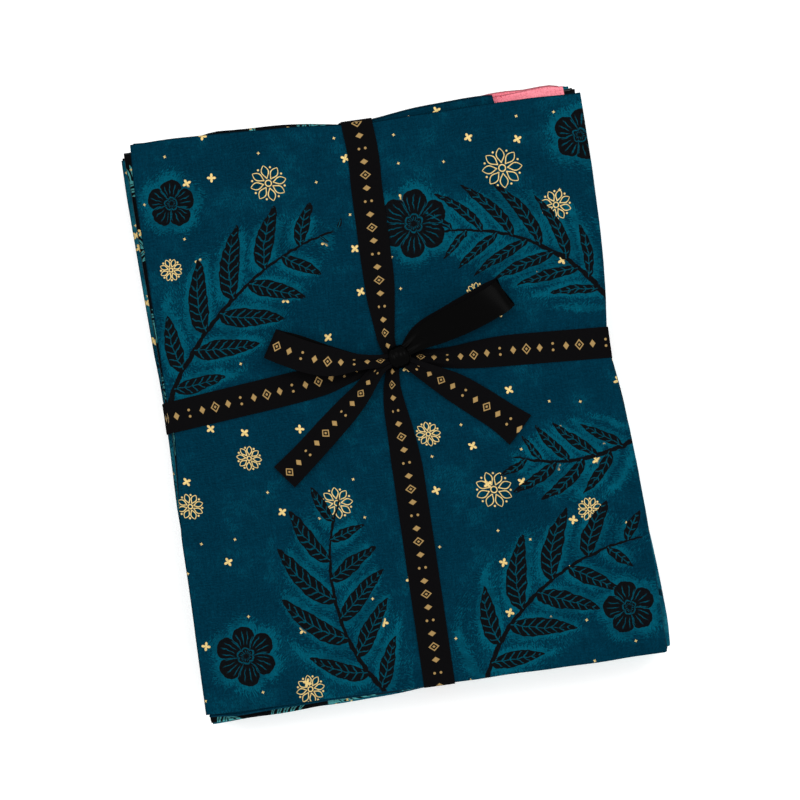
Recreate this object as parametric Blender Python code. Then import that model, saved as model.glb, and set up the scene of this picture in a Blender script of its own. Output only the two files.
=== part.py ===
"""Fat quarter bundle: seven fat quarters, each folded in half both ways, piled up and tied
crosswise with one length of flat ribbon that ends in a knot, two loops and two loose ends.

Units are metres and +Z is up. The bundle lies on its underside at z = 0, with its longer side
along Y. Tables hold millimetres and name their columns.
"""

import math

import bmesh
import bpy
import numpy as np
from mathutils import Vector

MM = 0.001

# Folded cloth
CLOTH = 1.05 * MM  # thickness of one layer
LAYER_GAP = 0.27 * MM  # air between two layers of one fat quarter
PIECE_GAP = 0.35 * MM  # air between two fat quarters
LAYER_PITCH = CLOTH + LAYER_GAP
PIECE_PITCH = 3 * LAYER_PITCH + CLOTH + PIECE_GAP

# Ribbon
RIBBON = 1.0 * MM  # thickness
RIBBON_WIDTH = 15.5 * MM
CROSS_BAND_GAP = 0.30 * MM  # air between the cloth and the band along X
LONG_BAND_GAP = 0.42 * MM  # air between the cloth and the band along Y, which lies outside

PILE_FLOOR = RIBBON + LONG_BAND_GAP  # underside of the lowest cloth

# Middle of the bundle's box in the tables' own coordinates
CENTRE_X = -1.16 * MM
CENTRE_Y = -1.1 * MM

# Corners of each folded fat quarter seen from above, from the lowest one up.
# The right side and the bottom side are folds, the left side and the top side are raw edges.
# The last columns say how far the lower leaf's raw edges slip past the upper leaf's: at the left
# side, at the left of the top side, and at the place on the top side where they slip most.
PIECE_COLUMNS = (
    "top_left_x", "top_left_y", "top_right_x", "top_right_y",
    "bottom_right_x", "bottom_right_y", "bottom_left_x", "bottom_left_y",
    "slip_left", "slip_top", "slip_most",
)
PIECES = {
    "fat_quarter_01": (-116.0, 138.5, 110.0, 141.0, 117.5, -141.5, -113.5, -144.5, 1.2, -1.5, -2.0),
    "fat_quarter_02": (-117.5, 137.0, 108.5, 142.5, 118.0, -140.5, -111.5, -146.5, -1.5, 1.0, 0.5),
    "fat_quarter_03": (-115.5, 139.5, 110.5, 140.0, 116.0, -142.5, -114.0, -144.0, 1.0, -2.0, -1.0),
    "fat_quarter_04": (-119.0, 136.6, 106.4, 142.7, 118.0, -140.2, -112.7, -147.3, -1.2, -1.6, -1.0),
    "fat_quarter_05": (-117.2, 139.6, 109.2, 140.6, 116.6, -141.4, -114.2, -144.6, -1.6, -1.0, -1.5),
    "fat_quarter_06": (-111.5, 133.5, 103.4, 145.2, 113.5, -139.8, -112.2, -140.2, 0.8, -1.2, -0.9),
    "fat_quarter_07": (-113.6, 144.5, 111.9, 138.8, 115.9, -142.6, -115.1, -141.8, 1.5, -0.8, 4.2),
}
MOST_SLIP_X = 62.0 * MM
COLOURS = {
    "fat_quarter_01": (0.060, 0.330, 0.345),
    "fat_quarter_02": (0.008, 0.010, 0.012),
    "fat_quarter_03": (0.002, 0.040, 0.075),
    "fat_quarter_04": (0.010, 0.140, 0.170),
    "fat_quarter_05": (0.008, 0.010, 0.012),
    "fat_quarter_06": (0.850, 0.185, 0.230),
    "fat_quarter_07": (0.002, 0.040, 0.065),
    "ribbon": (0.006, 0.006, 0.006),
}

# Lines of the cloth's mesh between its edges, the same for each fat quarter
LINES_X = np.array([-85.0, -48.0, -11.0, 11.0, 48.0, 85.0]) * MM
LINES_Y = np.array([-105.0, -62.0, -30.0, -2.0, 14.0, 30.0, 60.0, 100.0]) * MM
EDGE_RUN_X = 30.0 * MM  # from the outer lines of the mesh to the left and right sides
EDGE_RUN_Y = 40.0 * MM  # from the outer lines of the mesh to the top and bottom sides
HAIRPIN_STEPS = 3  # first fold, along the bottom side
TURN_STEPS = 5  # second fold, along the right side

# How the tied ribbon pulls the pile in
SIDE_PINCH = {"left": 2.0 * MM, "right": 4.8 * MM, "top": 2.6 * MM, "bottom": 1.0 * MM}
PINCH_REACH = 26.0 * MM  # the pinch fades away from the ribbon over this length
TIED_SQUEEZE = 0.050  # share of the height that is lost under the ribbon
EDGE_DROOP = 0.020  # share of the height that is lost at each side, and twice at the corners

# Each band on top of the pile, from one end to the other: its middle line as the place along it
# and the place across it, its width, and the height of the crease that it gathers into
BAND_COLUMNS = ("along", "across", "width", "crease")
LONG_BAND = (
    (-145.0, 1.5, 15.5, 0.0),
    (-36.0, 0.7, 15.5, 0.0),
    (-7.0, 0.5, 11.5, 0.6),
    (8.0, 0.3, 8.0, 1.4),
    (20.0, 1.0, 6.5, 1.8),
    (29.0, -1.0, 8.5, 1.3),
    (45.0, -1.4, 12.5, 0.5),
    (70.0, -0.7, 15.5, 0.0),
    (145.0, -0.5, 15.5, 0.0),
)
CROSS_BAND = (
    (-121.0, 6.1, 15.5, 0.0),
    (-45.0, 13.6, 15.5, 0.0),
    (-22.0, 16.8, 11.0, 0.6),
    (-8.0, 19.6, 7.0, 1.4),
    (3.0, 20.6, 6.5, 1.8),
    (13.0, 20.0, 7.5, 1.3),
    (30.0, 18.6, 12.0, 0.5),
    (48.0, 17.6, 15.5, 0.0),
    (121.0, 13.1, 15.5, 0.0),
)
BAND_STEP = 15.0 * MM  # longest stretch of a band between two stations
BAND_MARGIN = 1.0 * MM  # beside a band, where it still bears on the cloth's edges

# Bow, on top of the bands. Heights are above the tied cloth's top.
KNOT_PLACE = (4.4, 21.1, 4.3)
KNOT_SIZE = (9.2, 10.2, 7.4)
KNOT_SQUARENESS = 0.72  # 1 is a plain ellipsoid, and less is squarer

STRIP_COLUMNS = ("x", "y", "height", "width", "across_degrees")
LEFT_LOOP = (
    (2.0, 19.5, 3.4, 5.5, 78.0),
    (-12.0, 20.6, 3.2, 7.0, 76.0),
    (-30.0, 26.0, 3.0, 13.0, 70.0),
    (-46.0, 31.4, 3.1, 15.5, 63.0),
    (-54.0, 34.6, 3.4, 15.5, 60.0),
    (-57.4, 36.2, 5.2, 15.5, 59.0),
    (-57.6, 36.4, 7.6, 15.5, 59.0),
    (-54.2, 35.0, 9.6, 15.5, 60.0),
    (-44.0, 31.2, 10.2, 15.5, 64.0),
    (-30.0, 26.0, 9.6, 13.6, 70.0),
    (-16.0, 21.8, 7.6, 8.6, 75.0),
    (-6.0, 20.4, 6.0, 6.2, 78.0),
    (2.0, 20.6, 5.4, 5.5, 80.0),
)
RIGHT_LOOP = (
    (6.0, 22.0, 3.4, 5.5, 110.0),
    (18.0, 29.0, 3.4, 10.0, 114.0),
    (34.0, 37.4, 3.4, 15.0, 117.0),
    (50.0, 43.4, 3.7, 15.5, 118.0),
    (58.0, 46.2, 4.0, 15.5, 118.0),
    (61.6, 46.9, 5.8, 15.5, 118.0),
    (61.8, 46.4, 8.2, 15.5, 118.0),
    (58.2, 44.6, 10.2, 15.5, 118.0),
    (46.0, 39.4, 11.0, 15.5, 116.0),
    (32.0, 33.6, 10.4, 14.2, 112.0),
    (19.0, 28.0, 8.2, 9.0, 108.0),
    (12.0, 24.8, 6.6, 6.6, 106.0),
    (6.0, 22.4, 5.6, 5.5, 104.0),
)
LEFT_TAIL = (
    (3.0, 20.0, 5.2, 5.5, 130.0),
    (-7.0, 16.4, 4.6, 7.0, 128.0),
    (-14.4, 8.6, 3.6, 10.0, 130.0),
    (-24.0, -0.6, 2.9, 14.0, 129.0),
    (-36.0, -10.2, 2.7, 15.5, 128.0),
    (-48.0, -20.0, 3.2, 15.8, 122.0),
    (-60.4, -30.2, 4.2, 16.4, 92.0),
)
RIGHT_TAIL = (
    (5.0, 20.0, 5.0, 5.5, 60.0),
    (12.0, 14.4, 4.4, 7.6, 60.0),
    (20.0, 9.0, 3.6, 10.6, 60.0),
    (30.0, 2.0, 2.9, 14.6, 60.0),
    (40.0, -6.0, 2.7, 15.5, 58.0),
    (50.0, -14.8, 3.0, 15.8, 60.0),
    (59.0, -23.4, 3.9, 18.2, 77.0),
)


def clear_scene():
    for old in list(bpy.data.objects):
        bpy.data.objects.remove(old, do_unlink=True)


def cloth_material(name, colour, roughness):
    material = bpy.data.materials.new(name)
    material.use_nodes = True
    shader = material.node_tree.nodes["Principled BSDF"]
    shader.inputs["Base Color"].default_value = (*colour, 1.0)
    shader.inputs["Roughness"].default_value = roughness
    shader.inputs["Metallic"].default_value = 0.0
    return material


def new_object(name, mesh_builder, material=None):
    mesh = bpy.data.meshes.new(name)
    mesh_builder.to_mesh(mesh)
    mesh_builder.free()
    mesh.shade_smooth()
    mesh.set_sharp_from_angle(angle=math.radians(40.0))
    thing = bpy.data.objects.new(name, mesh)
    bpy.context.collection.objects.link(thing)
    if material is not None:
        mesh.materials.append(material)
    return thing


def piece_corners(name):
    row = dict(zip(PIECE_COLUMNS, PIECES[name]))
    for column in row:
        row[column] *= MM
        if column.endswith("_x"):
            row[column] -= CENTRE_X
        if column.endswith("_y"):
            row[column] -= CENTRE_Y
    return row


def band_row(table, place):
    """Middle line, width and crease height of a band at one place along it."""
    columns = dict(zip(BAND_COLUMNS, np.array(table).T * MM))
    return [np.interp(place, columns["along"], columns[name]) for name in BAND_COLUMNS[1:]]


def band_ends(table, centre_across):
    """Where a band's middle line goes over the two ends of the pile."""
    return [row[1] * MM - centre_across for row in (table[0], table[-1])]


def pinch(distance, side):
    """How far an edge is pulled in, at a distance from the middle of the ribbon over it."""
    away = max(0.0, abs(distance) - RIBBON_WIDTH / 2)
    return SIDE_PINCH[side] * math.exp(-away / PINCH_REACH)


def between(place, start, start_value, end, end_value):
    share = (place - start) / (end - start)
    return start_value + share * (end_value - start_value)


def left_edge(corners, y):
    x = between(y, corners["bottom_left_y"], corners["bottom_left_x"],
                corners["top_left_y"], corners["top_left_x"])
    return x + pinch(y - band_ends(CROSS_BAND, CENTRE_Y)[0], "left")


def right_edge(corners, y):
    x = between(y, corners["bottom_right_y"], corners["bottom_right_x"],
                corners["top_right_y"], corners["top_right_x"])
    return x - pinch(y - band_ends(CROSS_BAND, CENTRE_Y)[1], "right")


def top_edge(corners, x):
    y = between(x, corners["top_left_x"], corners["top_left_y"],
                corners["top_right_x"], corners["top_right_y"])
    return y - pinch(x - band_ends(LONG_BAND, CENTRE_X)[1], "top")


def bottom_edge(corners, x):
    y = between(x, corners["bottom_left_x"], corners["bottom_left_y"],
                corners["bottom_right_x"], corners["bottom_right_y"])
    return y + pinch(x - band_ends(LONG_BAND, CENTRE_X)[0], "bottom")


def top_slip(corners, x):
    """How far the lower leaf's top raw edge slips past the upper leaf's."""
    places = [LINES_X[2], MOST_SLIP_X, corners["top_right_x"]]
    return np.interp(x, places, [corners["slip_top"], corners["slip_most"], 0.0])


def tied_share(x, y):
    """1 under the ribbon, 0 well away from it, straight between the mesh's lines."""
    by_long_band = np.interp(abs(x), [LINES_X[3], LINES_X[4]], [1.0, 0.0])
    by_cross_band = np.interp(
        y, [LINES_Y[1], LINES_Y[3], LINES_Y[5], LINES_Y[7]], [0.0, 1.0, 1.0, 0.0]
    )
    return max(by_long_band, by_cross_band)


def edge_share(x, y):
    """0 inside the outer lines of the mesh, about 1 at the sides and 2 at the corners."""
    out_x = max(0.0, abs(x) - LINES_X[-1]) / EDGE_RUN_X
    out_y = max(0.0, y - LINES_Y[-1], LINES_Y[0] - y) / EDGE_RUN_Y
    return out_x + out_y


def squeezed(x, y, height):
    """The height of a point of the pile once the ribbon is tied."""
    lost = TIED_SQUEEZE * tied_share(x, y) + EDGE_DROOP * edge_share(x, y)
    return PILE_FLOOR + (height - PILE_FLOOR) * (1.0 - lost)


def fold_stations(lines, steps):
    """Stations across a cut that is folded once: its upper run, the fold and its lower run.

    Each station is (side, line, angle): line is None at the raw edge and in the fold.
    """
    upper = [(1, None, 90.0)]
    upper += [(1, line, 90.0) for line in lines]
    turn = [(0, None, 90.0 - 180.0 * step / steps) for step in range(steps + 1)]
    lower = [(-1, line, -90.0) for line in reversed(lines)]
    lower += [(-1, None, -90.0)]
    return upper + turn + lower


ACROSS = fold_stations(list(LINES_X), TURN_STEPS)
ALONG = fold_stations(list(reversed(LINES_Y)), HAIRPIN_STEPS)


def folded_point(corners, middle_height, across, along, out):
    """Where a point of the flat cut lies once it is folded in half both ways.

    across and along are stations, and out is the distance from the cloth's middle surface.
    """
    leaf, line_x, turn_degrees = across
    side, line_y, hairpin_degrees = along
    hairpin = LAYER_PITCH / 2 + out
    hairpin_angle = math.radians(hairpin_degrees)
    turn_angle = math.radians(turn_degrees)
    turn = LAYER_PITCH + hairpin * math.sin(hairpin_angle)

    # a first guess of the place, to read the edges at
    x = line_x
    if x is None:
        x = corners["top_left_x"] if leaf else corners["top_right_x"]
    if line_y is not None:
        y = line_y
    elif side:
        slip = top_slip(corners, x) if leaf < 0 else 0.0
        y = top_edge(corners, x) + slip
    else:
        fold_middle = bottom_edge(corners, x) + LAYER_PITCH / 2 + CLOTH / 2
        y = fold_middle - hairpin * math.cos(hairpin_angle)

    if line_x is None and leaf:
        slip = corners["slip_left"] if leaf < 0 else 0.0
        x = left_edge(corners, y) + slip
    if line_x is None and not leaf:
        fold_middle = right_edge(corners, y) - 1.5 * LAYER_PITCH - CLOTH / 2
        x = fold_middle + turn * math.cos(turn_angle)
    height = middle_height + turn * math.sin(turn_angle)
    return Vector((x, y, squeezed(x, y, height)))


def split_level_faces(sheet):
    """Split each near level face from its low x, low y corner, so that stacked faces match."""
    sheet.normal_update()
    for face in sheet.faces[:]:
        if abs(face.normal.z) > 0.7:
            first = min(face.verts, key=lambda corner: corner.co.x + corner.co.y)
            last = max(face.verts, key=lambda corner: corner.co.x + corner.co.y)
            bmesh.utils.face_split(face, first, last)


def fat_quarter(name, level):
    """One flat cut, given its thickness and folded in half both ways."""
    corners = piece_corners(name)
    middle_height = PILE_FLOOR + level * PIECE_PITCH + (3 * LAYER_PITCH + CLOTH) / 2
    cells_across = len(ACROSS) - 1
    cells_along = len(ALONG) - 1

    flat = bmesh.new()
    bmesh.ops.create_grid(flat, x_segments=cells_across, y_segments=cells_along, size=0.5)
    bmesh.ops.solidify(flat, geom=flat.faces[:], thickness=CLOTH)
    heights = [corner.co.z for corner in flat.verts]
    middle = (min(heights) + max(heights)) / 2
    for corner in flat.verts:
        across = ACROSS[round((corner.co.x + 0.5) * cells_across)]
        along = ALONG[round((corner.co.y + 0.5) * cells_along)]
        out = math.copysign(CLOTH / 2, corner.co.z - middle)
        corner.co = folded_point(corners, middle_height, across, along, out)
    bmesh.ops.recalc_face_normals(flat, faces=flat.faces[:])
    if flat.calc_volume(signed=True) < 0.0:
        bmesh.ops.reverse_faces(flat, faces=flat.faces[:])
    split_level_faces(flat)
    return new_object(name, flat, cloth_material(name, COLOURS[name], 0.85))


def convex_outline(points):
    """The outer outline of flat points, the way round that keeps the inside on its left."""

    def half(ordered):
        chain = []
        for point in ordered:
            while len(chain) > 1 and turn(chain[-2], chain[-1], point) <= 1e-12:
                chain.pop()
            chain.append(point)
        return chain[:-1]

    def turn(first, second, third):
        ahead = (second[0] - first[0], second[1] - first[1])
        onward = (third[0] - second[0], third[1] - second[1])
        return ahead[0] * onward[1] - ahead[1] * onward[0]

    ordered = sorted(set(points))
    return half(ordered) + half(ordered[::-1])


def wrapped_path(section, gap):
    """A taut ribbon's path round the pile's section, as (place, height) of its middle."""
    stand_off = gap + RIBBON / 2
    directions = [math.radians(22.5 * step) for step in range(16)]
    rounded = []
    for place, height in section:
        for angle in directions:
            out_place = place + stand_off * math.cos(angle)
            out_height = height + stand_off * math.sin(angle)
            rounded.append((round(out_place, 7), round(out_height, 7)))
    corners = convex_outline(rounded)
    path = []
    for here, ahead in zip(corners, corners[1:] + corners[:1]):
        pieces = max(1, math.ceil(math.dist(here, ahead) / BAND_STEP))
        for step in range(pieces):
            share = step / pieces
            path.append((between(share, 0, here[0], 1, ahead[0]),
                         between(share, 0, here[1], 1, ahead[1])))
    return path


def pile_section(low_edge, high_edge, ends, inner_lines):
    """Corners of the pile's section under a band: each fat quarter's edges and heights."""
    section = []
    reach = RIBBON_WIDTH / 2 + BAND_MARGIN
    for level, name in enumerate(PIECES):
        corners = piece_corners(name)
        low = min(low_edge(corners, ends[0] + side * reach) for side in (-1, 0, 1))
        high = max(high_edge(corners, ends[1] + side * reach) for side in (-1, 0, 1))
        if low_edge is left_edge:
            low += min(0.0, corners["slip_left"])
        else:
            high += max(0.0, top_slip(corners, ends[1] + reach))
        under = PILE_FLOOR + level * PIECE_PITCH
        over = under + PIECE_PITCH - PIECE_GAP
        for place in (low, inner_lines[0], inner_lines[-1], high):
            at = (place, 0.0) if low_edge is left_edge else (0.0, place)
            section.append((place, squeezed(*at, under)))
            section.append((place, squeezed(*at, over)))
    return section


def strip_mesh(stations, closed):
    """A thin sheet through stations of (middle, across, width, crease)."""
    sheet = bmesh.new()
    rows = []
    for middle, across, width, crease in stations:
        lift = Vector((0.0, 0.0, crease))
        rows.append([
            sheet.verts.new(middle - across * (width / 2)),
            sheet.verts.new(middle + lift),
            sheet.verts.new(middle + across * (width / 2)),
        ])
    pairs = list(zip(rows, rows[1:]))
    if closed:
        pairs.append((rows[-1], rows[0]))
    for here, ahead in pairs:
        sheet.faces.new((here[0], here[1], ahead[1], ahead[0]))
        sheet.faces.new((here[1], here[2], ahead[2], ahead[1]))
    return sheet


def ribbon_strip(name, stations, closed=False):
    sheet = strip_mesh(stations, closed)
    bmesh.ops.recalc_face_normals(sheet, faces=sheet.faces[:])
    strip = new_object(name, sheet)
    thickness = strip.modifiers.new("thickness", "SOLIDIFY")
    thickness.thickness = RIBBON
    thickness.offset = 0.0
    thickness.use_even_offset = True
    return strip


def band_stations(path, table, centre_along, centre_across, across_is_x):
    """Stations of a band that goes all the way round the pile."""
    pile_middle = max(height for place, height in path) / 2
    ends = (table[0], table[-1])
    stations = []
    for place, height in path:
        rows = table if height > pile_middle else ends
        middle, width, crease = band_row(rows, place + centre_along)
        middle -= centre_across
        if across_is_x:
            stations.append((Vector((middle, place, height)), Vector((1, 0, 0)), width, crease))
        else:
            stations.append((Vector((place, middle, height)), Vector((0, 1, 0)), width, crease))
    return stations


def long_band():
    section = pile_section(bottom_edge, top_edge, band_ends(LONG_BAND, CENTRE_X), LINES_Y)
    path = wrapped_path(section, LONG_BAND_GAP)
    stations = band_stations(path, LONG_BAND, CENTRE_Y, CENTRE_X, True)
    return ribbon_strip("ribbon", stations, closed=True)


def cross_band():
    section = pile_section(left_edge, right_edge, band_ends(CROSS_BAND, CENTRE_Y), LINES_X)
    path = wrapped_path(section, CROSS_BAND_GAP)
    stations = band_stations(path, CROSS_BAND, CENTRE_X, CENTRE_Y, False)
    return ribbon_strip("cross_band", stations, closed=True)


def tied_top():
    height = len(PIECES) * PIECE_PITCH - PIECE_GAP
    return PILE_FLOOR + height * (1.0 - TIED_SQUEEZE)


def bow_strip(name, table):
    """A loop or a loose end of the bow, from its table of stations."""
    stations = []
    for row in table:
        station = dict(zip(STRIP_COLUMNS, row))
        angle = math.radians(station["across_degrees"])
        middle = Vector((
            station["x"] * MM - CENTRE_X,
            station["y"] * MM - CENTRE_Y,
            tied_top() + station["height"] * MM,
        ))
        across = Vector((math.cos(angle), math.sin(angle), 0.0))
        stations.append((middle, across, station["width"] * MM, 0.0))
    return ribbon_strip(name, stations)


def knot():
    lump = bmesh.new()
    bmesh.ops.create_uvsphere(lump, u_segments=14, v_segments=8, radius=0.5)
    place = Vector(KNOT_PLACE) * MM - Vector((CENTRE_X, CENTRE_Y, -tied_top()))
    for corner in lump.verts:
        squared = [math.copysign(abs(2 * part) ** KNOT_SQUARENESS, part) / 2 for part in corner.co]
        corner.co = Vector([part * size * MM for part, size in zip(squared, KNOT_SIZE)])
        corner.co += place
    return new_object("knot", lump)


def ribbon():
    """One length of ribbon: both bands, the knot, the loops and the loose ends in one solid."""
    whole = long_band()
    whole.data.materials.append(cloth_material("ribbon", COLOURS["ribbon"], 0.55))
    parts = [
        cross_band(),
        knot(),
        bow_strip("left_loop", LEFT_LOOP),
        bow_strip("right_loop", RIGHT_LOOP),
        bow_strip("left_tail", LEFT_TAIL),
        bow_strip("right_tail", RIGHT_TAIL),
    ]
    for part in parts:
        part.hide_render = True
        part.display_type = "WIRE"
        join = whole.modifiers.new(part.name, "BOOLEAN")
        join.operation = "UNION"
        join.solver = "EXACT"
        join.object = part
    return whole


clear_scene()
for LEVEL, PIECE in enumerate(PIECES):
    fat_quarter(PIECE, LEVEL)
ribbon()
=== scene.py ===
"""Fat quarter bundle: seven printed fat quarters, each folded in half both ways, piled up and
tied crosswise with one length of flat black ribbon. Metres, +Z up; tables hold millimetres.
"""

import math

import bpy
import numpy as np
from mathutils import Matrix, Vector


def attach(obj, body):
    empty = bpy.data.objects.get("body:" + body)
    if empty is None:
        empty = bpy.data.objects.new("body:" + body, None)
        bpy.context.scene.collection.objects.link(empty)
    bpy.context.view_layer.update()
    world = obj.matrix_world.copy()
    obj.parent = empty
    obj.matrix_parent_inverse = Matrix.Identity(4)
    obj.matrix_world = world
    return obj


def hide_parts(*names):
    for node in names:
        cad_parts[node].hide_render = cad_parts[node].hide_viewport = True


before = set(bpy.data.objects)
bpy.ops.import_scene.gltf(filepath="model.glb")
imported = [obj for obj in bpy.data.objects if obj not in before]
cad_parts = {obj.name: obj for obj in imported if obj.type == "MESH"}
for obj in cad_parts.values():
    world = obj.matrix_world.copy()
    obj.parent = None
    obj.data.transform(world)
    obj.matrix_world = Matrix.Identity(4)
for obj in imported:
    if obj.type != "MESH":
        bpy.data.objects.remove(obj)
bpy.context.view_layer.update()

bpy.ops.object.select_all(action="DESELECT")

# ---------------------------------------------------------------------------------------------
# The seven fat quarters: each is one cut of quilting cotton, 18 by 22 in, folded in half with
# its wrong sides together and then in half again, and laid on the pile a little out of true.
# The first fold lies along the bottom side and the second along the right side.

MM = 0.001
COTTON = 0.80 * MM
LAYER_PITCH = 1.32 * MM
PIECE_PITCH = 5.36 * MM
PILE_FLOOR = 1.10 * MM

MIDDLE_X = -1.16 * MM
MIDDLE_Y = -1.10 * MM

CORNER_COLUMNS = (
    "top_left_x", "top_left_y", "top_right_x", "top_right_y",
    "bottom_right_x", "bottom_right_y", "bottom_left_x", "bottom_left_y", "slip_left",
)
FOLDED_CORNERS = {
    "fat_quarter_01": (-116, 138.5, 110, 141, 117.5, -141.5, -113.5, -144.5, 1.2),
    "fat_quarter_02": (-117.5, 137, 108.5, 142.5, 118, -140.5, -111.5, -146.5, -1.5),
    "fat_quarter_03": (-115.5, 139.5, 110.5, 140, 116, -142.5, -114, -144, 1),
    "fat_quarter_04": (-119.6, 137.2, 106.9, 143.4, 118.6, -140.9, -113.4, -147.9, 1.4),
    "fat_quarter_05": (-117.6, 140.1, 109.5, 141, 117, -142, -113.9, -146.9, 1.2),
    "fat_quarter_06": (-111.5, 133.5, 103.6, 145.4, 113.5, -139.8, -112.2, -140.2, 0.8),
    "fat_quarter_07": (-113.6, 144.5, 111.9, 138.8, 116.1, -143.5, -115.6, -142.7, 1.5),
}
# how the side edges that show run off straight, as (place up the table, mm to the right)
EDGE_BENDS = {
    "fat_quarter_04 left": (
        (-148, 0), (-105, 0.4), (-71, 0.4), (-50, -0.3), (-38, -0.4), (-18, 0.4), (-3, 0.9),
        (16, 1.2), (26, 1.1), (38, 0.6), (66, 0.2), (102, -0.1), (119, -0.3), (137, 0)),
    "fat_quarter_04 right": (
        (-140.9, 0), (-129, 1), (-110, 0.9), (-95, 0.5), (-74, -0.5), (-42, -2.6), (-8, -5.6),
        (21, -7), (55, -3.6), (84, -1.6), (143.4, 0)),
    "fat_quarter_05 left": (
        (-147, 0), (-105, 0.2), (-71, 0.6), (-50, 0.3), (-39, 0.5), (-19, 1.9), (-3, 2.7), (6, 2),
        (16, 1.5), (40, 1.7), (54, 1.3), (88, 0.8), (110, 0.8), (123, 0.7), (130, 0.1), (140, 0)),
    "fat_quarter_07 left": (
        (-143, 0), (-105, -0.1), (-93, 0), (-75, -0.15), (-63, -0.4), (-55, -0.5), (-46, -0.1),
        (-39, 0.3), (-19, 1.8), (-3, 2.8), (6, 2), (16, 1.1), (40, 0.8), (54, 0.4), (80, 0.2),
        (100, -0.3), (119, -0.8), (130, -0.7), (144.5, 0)),
    "fat_quarter_07 right": (
        (-143.5, 0), (-95, 0.4), (-74, 0.2), (-58, -0.3), (-42, -0.9), (-31, -1.4), (-8, -3.5),
        (5.5, -5), (21, -4.9), (38, -2.8), (55, -1.4), (70, -0.6), (84, -0.3), (101, 0.1),
        (139, 0)),
}
# how far the lower leaf's fold shows below the upper leaf's along the bottom, in the same way
BOTTOM_SLIPS = {
    "fat_quarter_07": ((0, -1.4), (0.06, -2.2), (0.19, -1.3), (0.3, -1.2), (0.46, -0.4), (1, 0)),
}
# how far the lower leaf's top edge slips past the upper leaf's, as (share of the way right, mm)
TOP_SLIPS = {
    "fat_quarter_01": ((0, -1.5), (0.8, -2), (1, 0)),
    "fat_quarter_02": ((0, 1), (0.8, 0.5), (1, 0)),
    "fat_quarter_03": ((0, -2), (0.8, -1), (1, 0)),
    "fat_quarter_04": ((0, -1.6), (0.8, -1), (1, 0)),
    "fat_quarter_05": (
        (0, -1), (0.1, 0.4), (0.2, 4.3), (0.37, 3), (0.42, 2.4), (0.45, 1.6), (0.47, 1.4),
        (0.55, -1), (1, 0)),
    "fat_quarter_06": ((0, -1.2), (0.78, 0.8), (0.84, 1.4), (0.87, 1), (0.92, -0.5), (1, 0)),
    "fat_quarter_07": (
        (0, 0.4), (0.454, -0.8), (0.53, 1.4), (0.79, 4.6), (0.8135, 4.7), (0.8171, -0.4), (1, 0)),
}
# the two shares between which a top edge steps back at once, which need stations of their own
SHARP_STOPS = (0.8135, 0.8171)
# how much lower a cloth's top right corner lies
CORNER_CUTS = {"fat_quarter_06": 1.4 * MM}
# cells along a straight run each way, round the first fold and round the second
RUN_CELLS_X = 48
RUN_CELLS_Y = 60
HAIRPIN_CELLS = 8
TURN_CELLS = 12

# where the ribbon's middle line runs over the pile, and how it pulls the pile in
LONG_LINE_Y = np.array([-145, -36, -7, 8, 20, 29, 45, 70, 145]) * MM
LONG_LINE_X = np.array([1.5, 0.7, 0.5, 0.3, 1, -1, -1.4, -0.7, -0.5]) * MM
CROSS_LINE_X = np.array([-121, -45, -22, -8, 3, 13, 30, 48, 121]) * MM
CROSS_LINE_Y = np.array([6.1, 13.6, 16.8, 19.6, 20.6, 20, 18.6, 17.6, 13.1]) * MM
TIED_HALF_WIDTH = 7.0 * MM
PINCH_REACH = 24.0 * MM
PINCHES = {"left": 2.6 * MM, "right": 6.6 * MM, "top": 3.4 * MM, "bottom": 0.9 * MM}
TIED_SQUEEZE = 0.055
SQUEEZE_REACH = 26.0 * MM
SQUEEZE_FALL = 1.4
PILE_HALF_X = 0.116
PILE_HALF_Y = 0.143
EDGE_DROOP = 0.030
MOST_DROOP = 1.4
EDGE_START = 26.0 * MM
FLOOR_SAG = 0.90 * MM
SAG_START = 10.0 * MM
SAG_RUN = 22.0 * MM
SAG_DEPTH = 12.0 * MM


def corners_of(name):
    row = {column: value * MM for column, value in zip(CORNER_COLUMNS, FOLDED_CORNERS[name])}
    for column in row:
        if column.endswith("_x"):
            row[column] -= MIDDLE_X
        if column.endswith("_y"):
            row[column] -= MIDDLE_Y
    return row


def between(place, start, start_value, end, end_value):
    return start_value + (place - start) / (end - start) * (end_value - start_value)


def away_from_ribbon(distance):
    """Distance from the ribbon's edge, rounded off under the ribbon."""
    return np.sqrt(distance ** 2 + TIED_HALF_WIDTH ** 2) - TIED_HALF_WIDTH


def long_line(y):
    return np.interp(y + MIDDLE_Y, LONG_LINE_Y, LONG_LINE_X) - MIDDLE_X


def cross_line(x):
    return np.interp(x + MIDDLE_X, CROSS_LINE_X, CROSS_LINE_Y) - MIDDLE_Y


def clear_of_ribbon(distance):
    """0 beside and under the ribbon, 1 well away from it."""
    share = np.clip((np.abs(distance) - SAG_START) / SAG_RUN, 0.0, 1.0)
    return share * share * (3.0 - 2.0 * share)


def pinch(distance, side, pull):
    return pull * PINCHES[side] * np.exp(-away_from_ribbon(distance) / PINCH_REACH)


def ripple(place, waves):
    """A slow unevenness along an edge, from rows of (length, height, phase)."""
    total = np.zeros_like(place)
    for length, height, phase in waves:
        total = total + height * MM * np.sin(2.0 * math.pi * place / (length * MM) + phase)
    return total


def shift_along(place, rows, unit=1.0):
    """Reads a table of (place, mm of shift) at each place."""
    at, shift = np.array(rows).T
    return np.interp(place, at * unit, shift * MM)


def edge_waves(level, side):
    phase = 1.7 * level + 2.3 * side
    return ((190.0, 0.45, phase), (83.0, 0.28, 2.1 * phase + 0.4), (31.0, 0.10, 3.3 * phase))


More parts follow.
